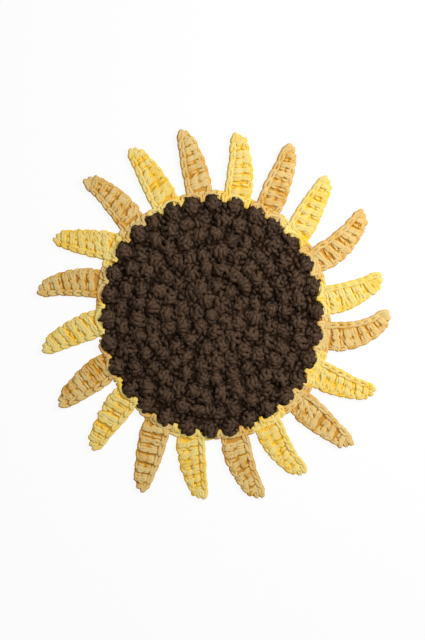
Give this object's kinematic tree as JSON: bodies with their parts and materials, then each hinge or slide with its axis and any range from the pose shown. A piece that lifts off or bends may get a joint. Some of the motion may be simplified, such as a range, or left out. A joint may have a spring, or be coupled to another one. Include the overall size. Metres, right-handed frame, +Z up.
{
  "type": "crochet dishcloth",
  "caption": "Sunflower-shaped crochet dishcloth lying flat: a thick round bobble-stitch centre with a scalloped rim, ringed by slim tapered petals in two pale yarns.",
  "frame": {"origin": "middle of the cloth's outline, on the surface that it lies on", "axes": "+Z up through the thickness, out of the bobbled front; +Y towards the tip of the tallest petals; +X to the right"},
  "size_m": [0.2476, 0.258, 0.0094],
  "materials": {
    "brown_yarn": "matte two-strand cotton yarn, dark brown",
    "tan_yarn": "matte plied cotton yarn, light tan",
    "yellow_yarn": "matte plied cotton yarn, pale yellow"
  },
  "bodies": {
    "root": {"flower_centre": "brown_yarn", "petal_tan_01": "tan_yarn", "petal_tan_02": "tan_yarn", "petal_tan_03": "tan_yarn", "petal_tan_04": "tan_yarn", "petal_tan_05": "tan_yarn", "petal_tan_06": "tan_yarn", "petal_tan_07": "tan_yarn", "petal_tan_08": "tan_yarn", "petal_tan_09": "tan_yarn", "petal_tan_10": "tan_yarn", "petal_yellow_01": "yellow_yarn", "petal_yellow_02": "yellow_yarn", "petal_yellow_03": "yellow_yarn", "petal_yellow_04": "yellow_yarn", "petal_yellow_05": "yellow_yarn", "petal_yellow_06": "yellow_yarn", "petal_yellow_07": "yellow_yarn", "petal_yellow_08": "yellow_yarn", "petal_yellow_09": "yellow_yarn", "petal_yellow_10": "yellow_yarn"}
  },
  "joints": []
}
